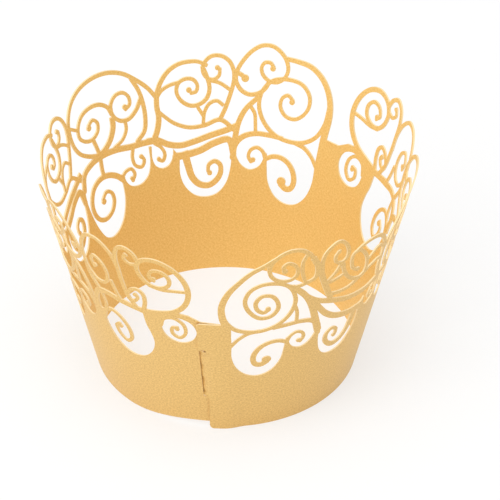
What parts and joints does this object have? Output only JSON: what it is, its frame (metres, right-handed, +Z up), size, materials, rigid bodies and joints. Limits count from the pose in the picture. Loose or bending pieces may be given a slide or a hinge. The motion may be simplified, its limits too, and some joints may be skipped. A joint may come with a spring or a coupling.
{
  "type": "cupcake liner",
  "caption": "Gold pearl card cupcake wrapper with a plain foot band and a laser-cut scroll filigree rim.",
  "frame": {"origin": "centre of the foot circle, on the surface that the wrapper stands on", "axes": "+Z up the axis of the cone, the closing seam near -Y, turned 8 degrees towards -X"},
  "size_m": [0.0712, 0.0715, 0.0491],
  "materials": {
    "pearl_card": "satin pearl card"
  },
  "bodies": {
    "root": {"card_wrapper": "pearl_card"}
  },
  "joints": []
}
